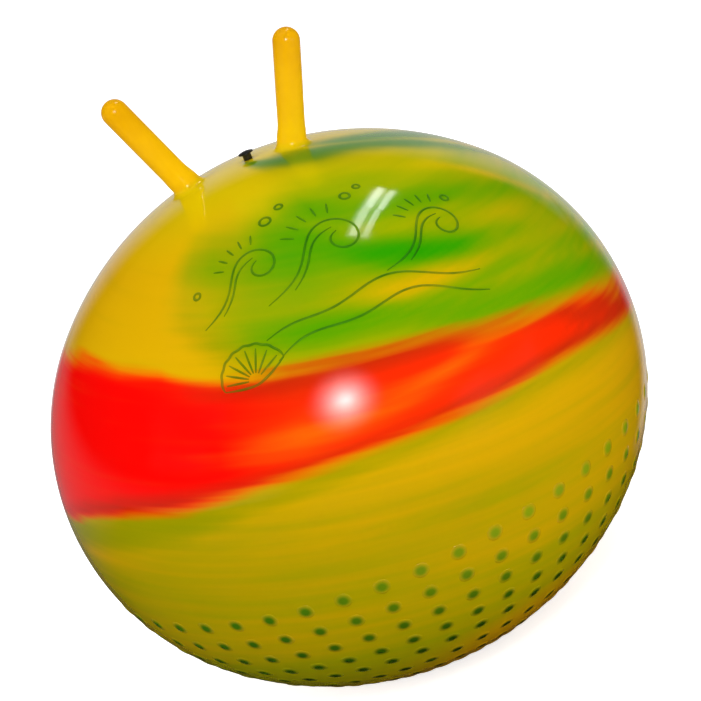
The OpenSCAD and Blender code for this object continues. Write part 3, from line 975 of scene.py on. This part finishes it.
def on_skin(direction, lift=0.0):
    """Where a ray from the middle of the ball leaves its skin, raised by a lift."""
    ray = Vector(direction).normalized()
    flat = math.hypot(ray.x, ray.y)
    reach = ARC_OFF * flat + math.sqrt(SIDE_R**2 - (ARC_OFF * ray.z) ** 2)
    if abs(reach * ray.z) > reach * flat - ARC_OFF:
        reach = math.sqrt(CAP_R**2 - (ARC_OFF * flat) ** 2) - ARC_OFF * abs(ray.z)
    return Vector((0, 0, MID_Z)) + ray * (reach + lift)


def lay(curve, stops, closed=False):
    """Lays a smooth line on the skin. Stops are millimetres east and north of the ornament's middle."""
    line = curve.splines.new("NURBS")
    line.points.add(len(stops) - 1)
    for point, (e, n) in zip(line.points, stops):
        point.co = (*on_skin(outward + (east * e + north * n) * MM / DRAWN_AT, -LINE_SINK), 1)
    line.order_u = 4
    line.use_endpoint_u = not closed
    line.use_cyclic_u = closed
    if not closed:
        line.points[0].radius = line.points[-1].radius = LINE_END_SHARE


print("middle of the ornament at", [round(1000 * v) for v in on_skin(outward)], "mm")

# %% Line finish
line_vinyl, tree = fresh("soft_pvc_green_line")
where = node(tree, "TexCoord").outputs["Object"]
# The paste lies unevenly along a line, in runs about 20 mm long, so the green comes and goes.
runs = node(tree, "TexNoise", {"Vector": where, "Scale": 1 / (20 * MM), "Detail": 2.0})
much = {"Value": runs, "From Min": 0.3, "From Max": 0.7, "To Min": 0.5, "To Max": 0.85}
much = node(tree, "MapRange", much)
both = node(tree, "Mix", {0: much, 6: marbling(tree), 7: linear("#1E6400")}, data_type="RGBA")
vinyl_surface(tree, both, gloss=0.4, level=0.08)
print(line_vinyl.name, "has", len(tree.nodes), "nodes")

# %% Waves, swell and drops
# One wave as shares of its size, east and north of its foot: up its back, over its crest and into the curl.
WAVE_SHARES = (
    (-1.0, -0.05), (-0.6, 0.02), (-0.22, 0.22), (0.02, 0.62), (0.3, 0.98), (0.72, 1.02), (1.02, 0.72),
    (0.98, 0.36), (0.7, 0.2), (0.44, 0.36), (0.46, 0.62), (0.66, 0.68),
)
# A second, smaller line runs inside each wave, and spray fans out round the middle of its curl, in radians.
INNER_SHARE, INNER_E_SHARE, INNER_N_SHARE = 0.84, 0.02, -0.06
CURL_E_SHARE, CURL_N_SHARE, SPRAY_SHARES = 0.5, 0.52, (0.66, 0.74, 0.84, 0.92)
SPRAYS, SPRAY_FIRST, SPRAY_STEP = 5, 2.5, 0.32
# Each wave has a foot, east and north, and a size, and each drop a middle and a radius, in millimetres.
WAVES = ((-76, 4, 44), (-8, -12, 50), (88, -34, 46))
DROPS = ((-22, 72, 6), (-4, 82, 4), (52, 58, 5), (68, 66, 3.5), (140, 20, 4.5), (-112, 40, 4))
# The swell runs below the waves, bowed down at its ends, with low ripples of its own.
SWELL_DOWN, SWELL_N, SWELL_E, SWELL_BOW = (18, 36), -22, -10, 0.0016
RIPPLE_H, RIPPLE_L = 6, 17
lines = bpy.data.curves.new("raised_lines", "CURVE")
lines.dimensions = "3D"
lines.bevel_depth = LINE_R
lines.bevel_resolution = 2
lines.resolution_u = 5
lines.use_fill_caps = True
for foot_e, foot_n, size in WAVES:
    lay(lines, [(foot_e + size * a, foot_n + size * b) for a, b in WAVE_SHARES])
    inner = [(INNER_SHARE * a + INNER_E_SHARE, INNER_SHARE * b + INNER_N_SHARE) for a, b in WAVE_SHARES[1:6]]
    lay(lines, [(foot_e + size * a, foot_n + size * b) for a, b in inner])
    for spray in range(SPRAYS):
        fan = SPRAY_FIRST - SPRAY_STEP * spray
        ray = [(CURL_E_SHARE + r * math.cos(fan), CURL_N_SHARE + r * math.sin(fan)) for r in SPRAY_SHARES]
        lay(lines, [(foot_e + size * a, foot_n + size * b) for a, b in ray])
for down in SWELL_DOWN:
    swell = []
    for e in range(-75, 126, 20):
        n = SWELL_N - down - SWELL_BOW * (e - SWELL_E) ** 2
        swell.append((e, n + RIPPLE_H * math.sin(e / RIPPLE_L + down)))
    lay(lines, swell)
for e, n, r in DROPS:
    eighths = [a * math.pi / 4 for a in range(8)]
    lay(lines, [(e + r * math.cos(a), n + r * math.sin(a)) for a in eighths], closed=True)
print("waves, swell and drops:", len(lines.splines), "lines")

# %% Shell
# Ribs fan out from a hinge, a scalloped edge joins their ends and a lower edge runs back to the hinge.
HINGE_E, HINGE_N = -102, -68
RIB = (7, 14, 22, 30)
EDGE_R, SCALLOP = 33, 2.5
LOWER_EDGE = ((32.5, 5.7), (20, 0), (9, -3), (0, -5), (-9, -3), (-20, 0), (-32.5, 5.7))
for degrees in range(20, 161, 20):
    a = math.radians(degrees)
    lay(lines, [(HINGE_E + r * math.cos(a), HINGE_N + r * math.sin(a)) for r in RIB])
edge = [(EDGE_R + SCALLOP * (i % 2), math.radians(10 + 10 * i)) for i in range(17)]
lay(lines, [(HINGE_E + r * math.cos(a), HINGE_N + r * math.sin(a)) for r, a in edge])
lay(lines, [(HINGE_E + e, HINGE_N + n) for e, n in LOWER_EDGE])
print("raised lines drawn:", len(lines.splines))

# %% Make the lines a mesh and place them
drawn = bpy.data.objects.new("raised_lines_curve", lines)
bpy.context.scene.collection.objects.link(drawn)
bpy.context.view_layer.update()
mesh = bpy.data.meshes.new_from_object(drawn.evaluated_get(bpy.context.evaluated_depsgraph_get()))
bpy.data.objects.remove(drawn)
bm = bmesh.new()
bm.from_mesh(mesh)
bmesh.ops.remove_doubles(bm, verts=bm.verts, dist=LINE_MERGE)
bpy.data.meshes.remove(mesh)
raised = piece("raised_lines", bm, line_vinyl)
paint(raised.data)
soft_with_ball(raised)
